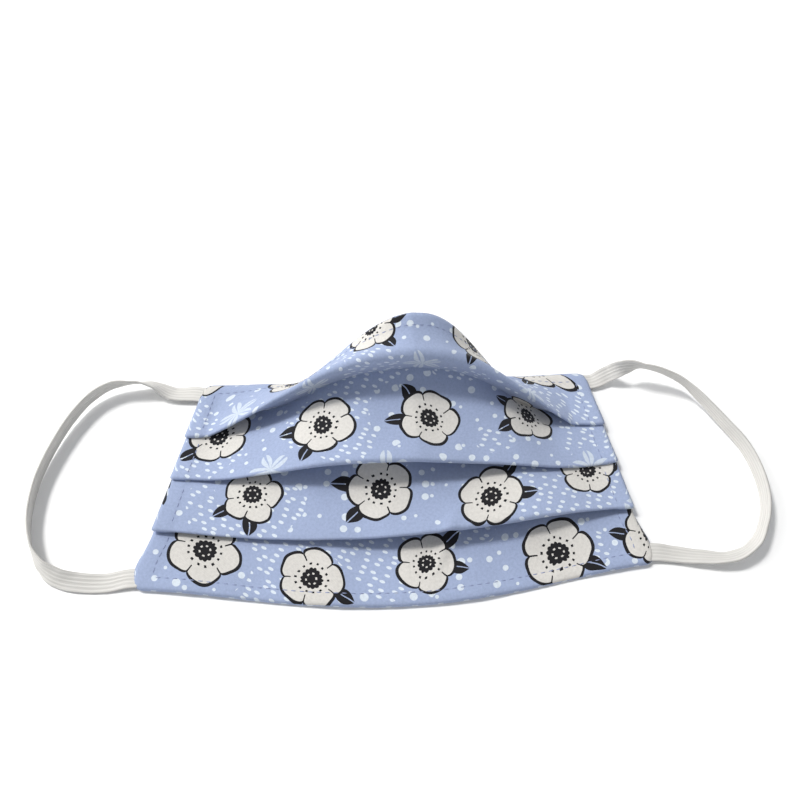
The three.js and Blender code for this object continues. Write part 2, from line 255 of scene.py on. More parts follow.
def reliefAt(x, y):
    lift = 0.0
    for length, height, seed in relief["waves"]:
        place = Vector((x / length, y / length * relief["waveStretch"], seed))
        lift += height * max(0.0, relief["waveShare"] + noise.noise(place))
    across, along = relief["dentSize"][1], relief["dentSize"][0]
    turn = math.radians(relief["dentTurn"])
    dx, dy = x - relief["dentPlace"][0], y - relief["dentPlace"][1]
    longWay = dx * math.cos(turn) + dy * math.sin(turn)
    shortWay = dy * math.cos(turn) - dx * math.sin(turn)
    lift += relief["dentHeight"] * math.exp(-((longWay / along) ** 2) - (shortWay / across) ** 2)
    crease = math.exp(-abs(x - relief["creaseX"] * cloth["width"]) / relief["creaseReach"])
    return lift + relief["creaseHeight"] * crease * smooth(*relief["creaseUp"], y)


def sectionAt(share):
    rollers = rollersAt(share)
    stretches = [stretchBetween(a, b) for a, b in zip(rollers, rollers[1:])]
    lift = swell(share, topHem["feet"], topHem["crests"], topHem["ease"])
    path = []
    for index, (leave, arrive, way, outside) in enumerate(stretches):
        if index and rollers[index][1] > 0:
            path += arcPoints(rollers[index], stretches[index - 1], stretches[index])
        else:
            path.append(leave)
        isStrip = index % 2 == 0 and index < 2 * len(stripCrowns)
        steps = cloth["stripSteps"] if isStrip else cloth["underSteps"]
        crown = cloth["rise"] * stripCrowns[index // 2] * lift if isStrip else 0.0
        for step in range(1, steps):
            along = step / steps
            bulge = 4 * crown * along * (1 - along)
            path.append(leave.lerp(arrive, along) - outside * bulge)
    path.append(stretches[-1][1])
    points = []
    for point in path:
        x = mix(seamX(point.x, "left"), seamX(point.x, "right"), share)
        points.append(Vector((x, point.x, point.y + reliefAt(x, point.x))))
    return points


# The middle surface of the two cloths, as a grid of points and of normals on the outer side,
# with the cloth's own lengths from the middle of the width and from the bottom hem
def foldCloth():
    count = cloth["stations"]
    grid = [sectionAt(index / count) for index in range(count + 1)]
    rows = len(grid[0])
    normals = []
    for i in range(count + 1):
        line = []
        for j in range(rows):
            across = grid[min(i + 1, count)][j] - grid[max(i - 1, 0)][j]
            along = grid[i][min(j + 1, rows - 1)] - grid[i][max(j - 1, 0)]
            line.append(along.cross(across).normalized())
        normals.append(line)
    upWay = [[0.0] * rows for _ in grid]
    sideWay = [[0.0] * rows for _ in grid]
    for i in range(count + 1):
        for j in range(rows - 2, -1, -1):
            upWay[i][j] = upWay[i][j + 1] + (grid[i][j] - grid[i][j + 1]).length
    middle = count // 2
    for j in range(rows):
        for i in range(middle + 1, count + 1):
            sideWay[i][j] = sideWay[i - 1][j] + (grid[i][j] - grid[i - 1][j]).length
        for i in range(middle - 1, -1, -1):
            sideWay[i][j] = sideWay[i + 1][j] - (grid[i][j] - grid[i + 1][j]).length
    return {"points": grid, "normals": normals, "up": upWay, "side": sideWay, "rows": rows}


folded = foldCloth()
print("cloth folded,", folded["rows"], "points from hem to hem")

# Edges are turned in and sewn down, so the cloth is thicker there and closes at its edge
edgeFinish = {
    "seamInset": 7.0,          # from the seams to their stitches
    "hemInset": 5.0,
    "padding": 0.28,           # of the cloth that is turned in
    "paddingFade": 1.5,
    "grooveDepth": 0.16,       # drawn in by the stitches
    "grooveWidth": 0.8,
    "closing": 1.4,            # where the two cloths come together
    "closedOffset": 0.08,
}


def edgeDistance(i, j):
    fromSeam = min(i, cloth["stations"] - i) * cloth["width"] / cloth["stations"]
    up = folded["up"][i]
    fromHem = min(up[j], up[0] - up[j])
    return min(fromSeam, fromHem * edgeFinish["seamInset"] / edgeFinish["hemInset"])


def offsetAt(distance):
    finish, inset = edgeFinish, edgeFinish["seamInset"]
    padding = finish["padding"] * (1 - smooth(inset, inset + finish["paddingFade"], distance))
    groove = finish["grooveDepth"] * math.exp(-((distance - inset) / finish["grooveWidth"]) ** 2)
    closing = smooth(0.0, finish["closing"], distance) ** 0.5
    return mix(finish["closedOffset"], faceOffset + padding - groove, closing)


def meshFrom(bm, name):
    mesh = bpy.data.meshes.new(name)
    bm.to_mesh(mesh)
    bm.free()
    return mesh


def addPiece(name, mesh, material, node):
    piece = bpy.data.objects.new(name, mesh)
    bpy.context.scene.collection.objects.link(piece)
    mesh.materials.append(material)
    mesh.shade_smooth()
    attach(piece, "root")
    if node:
        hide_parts(node)
    return piece


def solidify(piece, thickness):
    wall = piece.modifiers.new("wall", "SOLIDIFY")
    wall.thickness = thickness * mm
    wall.offset = -1.0
    wall.use_even_offset = False


# One cloth, from a flat grid whose points are carried to the folded surface
def addPanel(name, side, material, node):
    count, rows = cloth["stations"], folded["rows"]
    bm = bmesh.new()
    bmesh.ops.create_grid(bm, x_segments=count, y_segments=rows - 1, size=1.0)
    place = {}
    for vert in bm.verts:
        place[vert] = (round((vert.co.x + 1) / 2 * count), round((1 - vert.co.y) / 2 * (rows - 1)))
    for vert, (i, j) in place.items():
        offset = side * offsetAt(edgeDistance(i, j))
        vert.co = toFrame(folded["points"][i][j] + folded["normals"][i][j] * offset)
    uv = bm.loops.layers.uv.new("clothLengths")
    for face in bm.faces:
        for loop in face.loops:
            i, j = place[loop.vert]
            loop[uv].uv = (folded["side"][i][j] * mm, folded["up"][i][j] * mm)
    if side < 0:
        bmesh.ops.reverse_faces(bm, faces=bm.faces)
    piece = addPiece(name, meshFrom(bm, name), material, node)
    solidify(piece, cloth["thickness"])
    return piece


# Ribbed flat elastic of the ear loops

band = {
    "width": 7.0, "thickness": 0.75,
    "ribs": 5, "ribDepth": 0.16,
    "across": 36, "along": 300,
    "sewnIn": 1.6,             # how far the ends run on between the cloths
    "leadOut": 2.4,            # how far the ends run straight out of the seams
    "flatLift": 0.6,           # height of its middle where it lies flat
    "restClearance": 0.2,
}

# Materials

vectorNode, noiseNode = "ShaderNodeVectorMath", "ShaderNodeTexNoise"
flatNoise = {"noise_dimensions": "2D"}


def linear(hexColour):
    channels = [int(hexColour[k:k + 2], 16) / 255 for k in (1, 3, 5)]
    return [c / 12.92 if c <= 0.04045 else ((c + 0.055) / 1.055) ** 2.4 for c in channels] + [1.0]


def addNode(tree, kind, settings=None, feeds=None, out=0):
    node = tree.nodes.new(kind)
    for key, value in (settings or {}).items():
        setattr(node, key, value)
    for key, value in (feeds or {}).items():
        if isinstance(value, bpy.types.NodeSocket):
            tree.links.new(value, node.inputs[key])
        else:
            node.inputs[key].default_value = value
    return node.outputs[out] if node.outputs else None


def calc(tree, operation, *values):
    return addNode(tree, "ShaderNodeMath", {"operation": operation}, dict(enumerate(values)))


def calcVector(tree, operation, *values):
    return addNode(tree, vectorNode, {"operation": operation}, dict(enumerate(values)))


def scaled(tree, vector, factor):
    return addNode(tree, vectorNode, {"operation": "SCALE"}, {0: vector, "Scale": factor})


def lengthOf(tree, vector):
    return addNode(tree, vectorNode, {"operation": "LENGTH"}, {0: vector}, out=1)


def splitVector(tree, vector):
    split = tree.nodes.new("ShaderNodeSeparateXYZ")
    tree.links.new(vector, split.inputs[0])
    return split.outputs


def turnedFlat(tree, vector, angle):
    return addNode(tree, "ShaderNodeVectorRotate", {"rotation_type": "Z_AXIS"},
                   {"Vector": vector, "Angle": angle})


def mapRange(tree, value, source, target):
    return addNode(tree, "ShaderNodeMapRange", None, {
        "Value": value, "From Min": source[0], "From Max": source[1],
        "To Min": target[0], "To Max": target[1],
    })


def blend(tree, factor, first, second):
    return addNode(tree, "ShaderNodeMix", {"data_type": "RGBA"}, {0: factor, 6: first, 7: second}, out=2)


def newMaterial(name):
    material = bpy.data.materials.new(name)
    material.use_nodes = True
    material.node_tree.nodes.clear()
    return material, material.node_tree


weave = {
    "thread": 0.62,            # cotton threads lie 0.3 mm apart; drawn coarser to show
    "bump": 0.35, "bumpDepth": 0.12,
    "fineScale": 0.9, "fineShades": (0.9, 1.07),
    "broadScale": 0.03, "broadShades": (0.96, 1.04),
}


# Cotton, plain woven: matt, with a soft sheen of loose fibre and the grid of its threads
def cottonShader(tree, lengths, colour):
    fine = addNode(tree, noiseNode, flatNoise,
                   {"Vector": lengths, "Scale": weave["fineScale"], "Detail": 3.0, "Roughness": 0.7})
    broad = addNode(tree, noiseNode, flatNoise,
                    {"Vector": lengths, "Scale": weave["broadScale"], "Detail": 2.0})
    shade = mapRange(tree, fine, (0.25, 0.75), weave["fineShades"])
    tone = mapRange(tree, broad, (0.3, 0.7), weave["broadShades"])
    shaded = scaled(tree, colour, calc(tree, "MULTIPLY", shade, tone))
    turns = scaled(tree, lengths, 2 * math.pi / weave["thread"])
    waves = splitVector(tree, calcVector(tree, "SINE", turns))
    threads = calc(tree, "MULTIPLY", waves[0], waves[1])
    height = calc(tree, "ADD", threads, fine)
    bump = addNode(tree, "ShaderNodeBump", None,
                   {"Strength": weave["bump"], "Distance": weave["bumpDepth"] * mm, "Height": height})
    shader = addNode(tree, "ShaderNodeBsdfPrincipled", None, {
        "Base Color": shaded, "Roughness": 0.88, "Specular IOR Level": 0.25,
        "Sheen Weight": 0.12, "Sheen Roughness": 0.5, "Normal": bump,
    })
    addNode(tree, "ShaderNodeOutputMaterial", None, {"Surface": shader})


# The piece's own lengths in mm, as a vector
def clothLengths(tree):
    uv = addNode(tree, "ShaderNodeUVMap", {"uv_map": "clothLengths"})
    return scaled(tree, uv, 1000.0)


# Local place, in mm, inside a brick lattice of cells, each with its own shift and turn.
# Also gives the cell's random colour.
def scatteredCells(tree, lengths, cell, start, shift, seed):
    moved = calcVector(tree, "ADD", lengths, (start[0], start[1], 0.0))
    along = splitVector(tree, calcVector(tree, "DIVIDE", moved, (cell[0], cell[1], 1.0)))
    half = calc(tree, "MULTIPLY", calc(tree, "FLOOR", along[1]), 0.5)
    slid = calc(tree, "ADD", along[0], half)
    cells = addNode(tree, "ShaderNodeCombineXYZ", None, {0: slid, 1: along[1]})
    corner = calcVector(tree, "FLOOR", cells)
    seeded = calcVector(tree, "ADD", corner, (seed, seed * 1.7, 0.0))
    chance = addNode(tree, "ShaderNodeTexWhiteNoise", flatNoise, {"Vector": seeded}, out=1)
    inside = calcVector(tree, "SUBTRACT", cells, corner)
    centred = calcVector(tree, "SUBTRACT", inside, (0.5, 0.5, 0.0))
    local = calcVector(tree, "MULTIPLY", centred, (cell[0], cell[1], 0.0))
    swing = calcVector(tree, "SUBTRACT", chance, (0.5, 0.5, 0.5))
    nudge = calcVector(tree, "MULTIPLY", swing, (2 * shift, 2 * shift, 0.0))
    placed = calcVector(tree, "SUBTRACT", local, nudge)
    pick = splitVector(tree, chance)
    angle = calc(tree, "MULTIPLY", pick[2], 2 * math.pi)
    return turnedFlat(tree, placed, angle), pick


def polar(tree, local):
    split = splitVector(tree, local)
    return lengthOf(tree, local), calc(tree, "ARCTAN2", split[1], split[0])


def petalWave(tree, angle, petals):
    halfTurns = calc(tree, "MULTIPLY", angle, petals / 2)
    return calc(tree, "ABSOLUTE", calc(tree, "COSINE", halfTurns))


printed = {
    "ground": "#9AA7C5", "white": "#CFCCC7", "black": "#17161A", "leaf": "#BFC9D6", "dot": "#CFD8E2",
    "handDrawn": 2.6,          # how far the drawing wanders
    # anemone flowers with a pair of black leaves
    "flowerCell": (44.0, 53.0), "flowerStart": (9.0, 12.5), "flowerShift": 4.2, "flowerSeed": 3.0,
    "flowerGrowth": (0.9, 1.12), "flowerRadius": 10.2, "petalLength": 2.8, "petals": 5,
    "line": 1.15, "vein": 0.075, "veinStart": 1.6,
    "centre": 3.5, "beads": 14, "beadDepth": 0.6,
    "pollenGrains": 6, "pollenRing": 1.9, "pollenSize": 0.3,
    "stamenRing": 5.7, "stamenSize": 0.45,
    "blackLeafAt": 13.0, "blackLeafSize": (5.4, 2.9), "blackLeafTurns": (205.0, 262.0), "blackLeafRib": 0.22,
    # pale sprays of leaves
    "leafCell": (44.0, 53.0), "leafStart": (31.0, 39.0), "leafShift": 6.0, "leafSeed": 8.0,
    "leafRadius": 8.5, "leafBlades": 5, "leafRib": 0.985, "leafShare": 0.9, "leafMargin": 1.5,
    # patches of dots and of leaning dashes between them
    "patchSize": 34.0, "patchEdge": 0.56,
    "dotSpacing": 6.2, "dotSizes": (0.1, 0.26), "dotsLeftOut": 0.3,
    "dashSpacing": (2.7, 5.0), "dashTurn": 24.0, "dashSize": 0.22,
}


# A pointed leaf whose middle lies at a distance from the flower's, in a direction
def leafShape(tree, radius, angle, turn):
    distance, (length, breadth) = printed["blackLeafAt"], printed["blackLeafSize"]
    away = calc(tree, "SUBTRACT", angle, math.radians(turn))
    along = calc(tree, "MULTIPLY", radius, calc(tree, "COSINE", away))
    along = calc(tree, "SUBTRACT", along, distance)
    across = calc(tree, "MULTIPLY", radius, calc(tree, "SINE", away))
    across = calc(tree, "ABSOLUTE", across)
    share = calc(tree, "DIVIDE", along, length)
    square = calc(tree, "MULTIPLY", share, share)
    width = calc(tree, "MULTIPLY_ADD", square, -breadth, breadth)
    inside = calc(tree, "LESS_THAN", across, width)
    offRib = calc(tree, "GREATER_THAN", across, printed["blackLeafRib"])
    return calc(tree, "MULTIPLY", inside, offRib)


# Where the flowers lie, where their black lines lie and where their black leaves lie
def flowerMasks(tree, drawn):
    p = printed
    local, chance = scatteredCells(tree, drawn, p["flowerCell"], p["flowerStart"],
                                   p["flowerShift"], p["flowerSeed"])
    radius, angle = polar(tree, local)
    growth = mapRange(tree, chance[0], (0.0, 1.0), p["flowerGrowth"])
    radius = calc(tree, "DIVIDE", radius, growth)
    wave = petalWave(tree, angle, p["petals"])
    rounded = calc(tree, "POWER", wave, 0.5)
    tip = calc(tree, "MULTIPLY_ADD", rounded, p["petalLength"], p["flowerRadius"])
    flower = calc(tree, "LESS_THAN", radius, tip)
    outline = calc(tree, "GREATER_THAN", radius, calc(tree, "SUBTRACT", tip, p["line"]))
    vein = calc(tree, "LESS_THAN", wave, p["vein"])
    veinOut = calc(tree, "GREATER_THAN", radius, p["stamenRing"] + p["veinStart"])
    veins = calc(tree, "MULTIPLY", vein, veinOut)
    bead = petalWave(tree, angle, p["beads"])
    core = calc(tree, "LESS_THAN", radius, calc(tree, "MULTIPLY_ADD", bead, p["beadDepth"], p["centre"]))
    pollen = calc(tree, "GREATER_THAN", petalWave(tree, angle, p["pollenGrains"]), 0.8)
    pollenRing = calc(tree, "COMPARE", radius, p["pollenRing"], p["pollenSize"])
    core = calc(tree, "SUBTRACT", core, calc(tree, "MULTIPLY", pollen, pollenRing))
    stamens = calc(tree, "GREATER_THAN", bead, 0.86)
    stamenRing = calc(tree, "COMPARE", radius, p["stamenRing"], p["stamenSize"])
    stamens = calc(tree, "MULTIPLY", stamens, stamenRing)
    ink = outline
    for part in (veins, core, stamens):
        ink = calc(tree, "MAXIMUM", ink, part)
    first, second = [leafShape(tree, radius, angle, turn) for turn in p["blackLeafTurns"]]
    return flower, ink, calc(tree, "MAXIMUM", first, second)


# Where the pale sprays lie, and everything clear of them
def sprayMasks(tree, drawn):
    p = printed
    local, chance = scatteredCells(tree, drawn, p["leafCell"], p["leafStart"], p["leafShift"], p["leafSeed"])
    radius, angle = polar(tree, local)
    wave = petalWave(tree, angle, p["leafBlades"])
    tip = calc(tree, "MULTIPLY", calc(tree, "POWER", wave, 0.7), p["leafRadius"])
    leaf = calc(tree, "LESS_THAN", radius, tip)
    leaf = calc(tree, "MULTIPLY", leaf, calc(tree, "LESS_THAN", wave, p["leafRib"]))
    leaf = calc(tree, "MULTIPLY", leaf, calc(tree, "LESS_THAN", chance[0], p["leafShare"]))
    return leaf, calc(tree, "GREATER_THAN", radius, p["leafRadius"] + p["leafMargin"])


def dotMask(tree, lengths, patch):
    p = printed
    dots = tree.nodes.new("ShaderNodeTexVoronoi")
    dots.voronoi_dimensions = "2D"
    tree.links.new(lengths, dots.inputs["Vector"])
    dots.inputs["Scale"].default_value = 1.0 / p["dotSpacing"]
    dots.inputs["Randomness"].default_value = 0.85
    pick = splitVector(tree, dots.outputs["Color"])
    size = mapRange(tree, pick[0], (0.0, 1.0), p["dotSizes"])
    dot = calc(tree, "LESS_THAN", dots.outputs["Distance"], size)
    dot = calc(tree, "MULTIPLY", dot, calc(tree, "LESS_THAN", patch, p["patchEdge"]))
    return calc(tree, "MULTIPLY", dot, calc(tree, "GREATER_THAN", pick[1], p["dotsLeftOut"]))


def dashMask(tree, lengths, patch):
    p = printed
    leaning = turnedFlat(tree, lengths, math.radians(p["dashTurn"]))
    packed = calcVector(tree, "DIVIDE", leaning, (p["dashSpacing"][1], p["dashSpacing"][0], 1.0))
    dashes = addNode(tree, "ShaderNodeTexVoronoi", {"voronoi_dimensions": "2D"},
                     {"Vector": packed, "Scale": 1.0, "Randomness": 0.55})
    dash = calc(tree, "LESS_THAN", dashes, p["dashSize"])
    return calc(tree, "MULTIPLY", dash, calc(tree, "GREATER_THAN", patch, p["patchEdge"]))


# Printed cotton: pigment lies flat on the threads, so print and ground share one finish
def makePrintedCotton():
    material, tree = newMaterial("cotton plain weave, pigment printed")
    lengths = clothLengths(tree)
    wander = printed["handDrawn"]
    wobble = addNode(tree, noiseNode, flatNoise, {"Vector": lengths, "Scale": 0.09, "Detail": 1.0}, out=1)
    wobble = calcVector(tree, "SUBTRACT", wobble, (0.5, 0.5, 0.5))
    drawn = calcVector(tree, "MULTIPLY_ADD", wobble, (wander, wander, 0.0), lengths)
    flower, ink, blackLeaf = flowerMasks(tree, drawn)
    leaf, clearOfLeaf = sprayMasks(tree, drawn)
    patch = addNode(tree, noiseNode, flatNoise,
                    {"Vector": lengths, "Scale": 1.0 / printed["patchSize"], "Detail": 0.0})
    marks = calc(tree, "MAXIMUM", dotMask(tree, lengths, patch), dashMask(tree, lengths, patch))
    marks = calc(tree, "MULTIPLY", marks, clearOfLeaf)
    tones = {name: linear(printed[name]) for name in ("ground", "dot", "leaf", "black", "white")}
    colour = blend(tree, marks, tones["ground"], tones["dot"])
    colour = blend(tree, leaf, colour, tones["leaf"])
    colour = blend(tree, blackLeaf, colour, tones["black"])
    colour = blend(tree, flower, colour, blend(tree, ink, tones["white"], tones["black"]))
    cottonShader(tree, lengths, colour)
    return material


dotted = {"ground": "#9AA7C5", "dot": "#CFD8E2", "spacing": 6.7, "radius": 1.0, "turn": 45.0}


def makeDottedCotton():
    material, tree = newMaterial("cotton plain weave, printed with dots")
    lengths = clothLengths(tree)
    leaning = turnedFlat(tree, lengths, math.radians(dotted["turn"]))
    inside = calcVector(tree, "FRACTION", scaled(tree, leaning, 1.0 / dotted["spacing"]))
    centred = calcVector(tree, "SUBTRACT", inside, (0.5, 0.5, 0.0))
    flat = calcVector(tree, "MULTIPLY", centred, (1.0, 1.0, 0.0))
    dot = calc(tree, "LESS_THAN", lengthOf(tree, flat), dotted["radius"] / dotted["spacing"])
    cottonShader(tree, lengths, blend(tree, dot, linear(dotted["ground"]), linear(dotted["dot"])))
    return material


braid = {
    # the darker colour is painted shade in the rib grooves; the random grain also mixes towards it
    "crown": "#D3D1CD", "paintedGrooveShade": "#BEBCB8",
    "yarnStep": 0.9, "yarnLean": 1.6, "yarnHeight": 0.3,
    "streaks": (0.09, 2.4, 1.0), "bump": 0.45, "bumpDepth": 0.12,
}


# Braided polyester elastic: white, slightly glossy yarn in lengthwise ribs with fine cross threads; the
# grooves between the ribs get painted shade
def makeElastic():
    material, tree = newMaterial("polyester elastic, braided")
    lengths = clothLengths(tree)
    along, across = splitVector(tree, lengths)[0:2]
    streaks = calcVector(tree, "MULTIPLY", lengths, braid["streaks"])
    grain = addNode(tree, noiseNode, flatNoise, {"Vector": streaks, "Scale": 1.0, "Detail": 2.0})
    leaning = calc(tree, "MULTIPLY_ADD", across, braid["yarnLean"], along)
    yarn = calc(tree, "SINE", calc(tree, "MULTIPLY", leaning, 2 * math.pi / braid["yarnStep"]))
    height = calc(tree, "MULTIPLY_ADD", yarn, braid["yarnHeight"], grain)
    bump = addNode(tree, "ShaderNodeBump", None,
                   {"Strength": braid["bump"], "Distance": braid["bumpDepth"] * mm, "Height": height})
    ribTurn = calc(tree, "MULTIPLY", across, math.pi * band["ribs"] / band["width"])
    ribTurn = calc(tree, "ADD", ribTurn, math.pi * band["ribs"] / 2)
    # painted shade: the colour darkens in the grooves between the ribs
    paintedGrooveShade = calc(tree, "ABSOLUTE", calc(tree, "COSINE", ribTurn))
    paintedGrooveShade = calc(tree, "POWER", paintedGrooveShade, 3.0)
    tone = mapRange(tree, grain, (0.35, 0.65), (0.0, 0.35))
    tone = calc(tree, "MULTIPLY_ADD", paintedGrooveShade, 0.65, tone)
    shader = addNode(tree, "ShaderNodeBsdfPrincipled", None, {
        "Base Color": blend(tree, tone, linear(braid["crown"]), linear(braid["paintedGrooveShade"])),
        "Roughness": 0.55, "Specular IOR Level": 0.35, "Sheen Weight": 0.08, "Normal": bump,
    })
    addNode(tree, "ShaderNodeOutputMaterial", None, {"Surface": shader})
    return material


# Spun polyester sewing thread: grey blue, a little shinier than the cotton
def makeThread():
    material, tree = newMaterial("polyester sewing thread")
    place = addNode(tree, "ShaderNodeTexCoord", out=3)
    twist = addNode(tree, noiseNode, None, {"Vector": place, "Scale": 2600.0, "Detail": 1.0})
    bump = addNode(tree, "ShaderNodeBump", None, {"Strength": 0.4, "Distance": 0.05 * mm, "Height": twist})
    shader = addNode(tree, "ShaderNodeBsdfPrincipled", None,
                     {"Base Color": linear("#858FB0"), "Roughness": 0.55, "Normal": bump})
    addNode(tree, "ShaderNodeOutputMaterial", None, {"Surface": shader})
    return material


printedCotton = makePrintedCotton()
dottedCotton = makeDottedCotton()
elastic = makeElastic()
thread = makeThread()
print("materials made")

# The two cloths

outer = addPanel("outerCloth", 1, printedCotton, "outer_panel")
lining = addPanel("liningCloth", -1, dottedCotton, "lining_panel")
print("cloths made")

# Stitches, laid into the groove of the turned edges

stitches = {
    "length": 2.2, "gap": 0.9, "width": 0.48, "height": 0.34,
    "hemSteps": 240, "seamSteps": 30,
    "foldMargin": 0.6,         # between a seam's stitches and the fold that covers them
}


# Middle of the outer cloth's face at a place on the folded grid, with the face's normal
def facePlace(i, j):
    low = (min(int(i), cloth["stations"] - 1), min(int(j), folded["rows"] - 2))
    shares = (i - low[0], j - low[1])
    corners = [[0, 0], [1, 0], [0, 1], [1, 1]]
    weights = [
        (1 - shares[0]) * (1 - shares[1]), shares[0] * (1 - shares[1]),
        (1 - shares[0]) * shares[1], shares[0] * shares[1],
    ]
    point, normal, distance = Vector(), Vector(), 0.0
    for (a, b), weight in zip(corners, weights):
        column, row = low[0] + a, low[1] + b
        point += folded["points"][column][row] * weight
        normal += folded["normals"][column][row] * weight
        distance += edgeDistance(column, row) * weight
    normal.normalize()
    return point + normal * offsetAt(distance), normal


def rowAtLength(i, length):
    up = folded["up"][round(i)]
    for j in range(folded["rows"] - 1):
        if up[j] >= length >= up[j + 1]:
            return j + (up[j] - length) / max(up[j] - up[j + 1], 1e-6)
    return 0.0


def addStitch(bm, start, end, normal):
    way = (end - start).normalized()
    side = normal.cross(way).normalized()
    turn = Matrix((way, side, way.cross(side))).transposed().to_4x4()
    made = bmesh.ops.create_icosphere(bm, subdivisions=1, radius=1.0)["verts"]
    size = Matrix.Diagonal(((end - start).length / 2, stitches["width"] / 2, stitches["height"] / 2, 1.0))
    move = Matrix.Scale(mm, 4) @ Matrix.Translation((start + end) / 2 + hemCorner)
    bmesh.ops.transform(bm, matrix=move @ turn @ size, verts=made)


# Runs of stitches along lines on the grid; each line is a list of (column, row)
def sewAlong(bm, line):
    points = [facePlace(i, j) for i, j in line]
    need, last = stitches["gap"], points[0]
    start = None
    for place in points[1:]:
        gap = (place[0] - last[0]).length
        while gap >= need:
            share = need / gap
            last = (last[0].lerp(place[0], share), last[1].lerp(place[1], share))
            gap -= need
            if start is None:
                start, need = last, stitches["length"]
            else:
                addStitch(bm, start[0], last[0], last[1])
                start, need = None, stitches["gap"]
        need -= gap
        last = place


# The parts of a column that no pleat covers, as lengths from the bottom hem
def visibleStrips(i):
    points, up = folded["points"][i], folded["up"][i]
    fold = cloth["arcSteps"] + cloth["underSteps"] + cloth["arcSteps"]
    allowanceRow = folded["rows"] - 1 - cloth["underSteps"]
    strips, start, coverY = [], 0, math.inf
    for index in range(len(stripCrowns)):
        isLast = index == len(stripCrowns) - 1
        end = allowanceRow if isLast else start + cloth["stripSteps"]
        rows = [k for k in range(start, end + 1) if points[k].y < coverY - stitches["foldMargin"]]
        high = up[rows[0]] if index else up[rows[0]] - edgeFinish["hemInset"]
        low = edgeFinish["hemInset"] if isLast else up[rows[-1]]
        strips.append((high, low))
        coverY = points[min(end + cloth["arcSteps"] // 2, len(points) - 1)].y
        start = end + fold
    return strips


def makeStitches():
    bm = bmesh.new()
    inset = edgeFinish["hemInset"]
    first = edgeFinish["seamInset"] / cloth["width"] * cloth["stations"]
    last = cloth["stations"] - first
    steps, seamSteps = stitches["hemSteps"], stitches["seamSteps"]
    columns = [mix(first, last, k / steps) for k in range(steps + 1)]
    sewAlong(bm, [(i, rowAtLength(i, inset)) for i in columns])
    sewAlong(bm, [(i, rowAtLength(i, folded["up"][round(i)][0] - inset)) for i in columns])
    for i in (first, last):
        for top, bottom in visibleStrips(round(i)):
            lengths = [mix(top, bottom, k / seamSteps) for k in range(seamSteps + 1)]
            sewAlong(bm, [(i, rowAtLength(i, length)) for length in lengths])
    return meshFrom(bm, "stitches")


stitching = addPiece("topStitching", makeStitches(), thread, None)
print("stitches sewn,", len(stitching.data.polygons), "faces")

# Ear loops: ribbed flat elastic along the same routes as the solids

routes = {
    "left": {
        "reach": 43.0, "arch": 3.0, "hemEnd": 0.0, "outward": -1,
        "upperInset": 4.6, "lowerInset": 4.6,
        # out of the reach, up of the height, arch of the arch, tilt in degrees
        "stations": [
            (-0.13, 0.964, 0.2, 12), (0.058, 0.998, 0.7, 40), (0.226, 1.002, 1, 60), (0.445, 0.99, 0.9, 76),
            (0.623, 0.935, 0.6, 82), (0.77, 0.83, 0.4, 84), (0.895, 0.68, 0.2, 84), (0.979, 0.51, 0.05, 84),
            (0.979, 0.33, 0, 82), (0.906, 0.2, 0, 78), (0.801, 0.12, 0, 64), (0.655, 0.068, 0, 36),
            (0.456, 0.045, 0, 14), (0.236, 0.04, 0, 4),
        ],
    },
    "right": {
        "reach": 53.0, "arch": 7.0, "hemEnd": cloth["width"], "outward": 1,
        "upperInset": 4.3, "lowerInset": 4.8,
        "stations": [
            (0.012, 0.975, 0.3, 24), (0.124, 0.968, 0.85, 70), (0.277, 0.961, 1, 116),
            (0.44, 0.932, 0.85, 114), (0.582, 0.885, 0.6, 110), (0.7045, 0.793, 0.38, 98),
            (0.827, 0.67, 0.18, 91), (0.934, 0.545, 0.05, 87), (0.9745, 0.405, 0, 85), (0.949, 0.26, 0, 84),
            (0.857, 0.14, 0, 78), (0.735, 0.055, 0, 60), (0.562, 0.012, 0, 40), (0.348, 0.022, 0, 22),
            (0.1645, 0.042, 0, 8),
        ],
    },
}


# A point on a smooth curve through all the places, evenly eased by their spacing
def curvePoint(places, along):
    cell = along * (len(places) - 1)
    first = min(int(cell), len(places) - 2)
    share = cell - first
    p1, p2 = places[first], places[first + 1]
    p0 = places[first - 1] if first else p1 * 2 - p2
    p3 = places[first + 2] if first + 2 < len(places) else p2 * 2 - p1
    gaps = [max((b - a).length ** 0.5, 1e-4) for a, b in ((p0, p1), (p1, p2), (p2, p3))]
    before = ((p1 - p0) / gaps[0] - (p2 - p0) / (gaps[0] + gaps[1]) + (p2 - p1) / gaps[1]) * gaps[1]
    after = ((p2 - p1) / gaps[1] - (p3 - p1) / (gaps[1] + gaps[2]) + (p3 - p2) / gaps[2]) * gaps[1]
    square, cube = share * share, share ** 3
    return (p1 * (2 * cube - 3 * square + 1) + before * (cube - 2 * square + share)
            + p2 * (3 * square - 2 * cube) + after * (cube - square))


def seamExit(side, height, outward):
    lean = seamX(height + 0.5, side) - seamX(height - 0.5, side)
    away = Vector((outward, -outward * lean, 0.0)).normalized()
    column = folded["points"][0 if side == "left" else cloth["stations"]]
    below = next(k for k in range(1, len(column)) if column[k].y <= height < column[k - 1].y)
    share = (height - column[below].y) / (column[below - 1].y - column[below].y)
    return column[below].lerp(column[below - 1], share), away


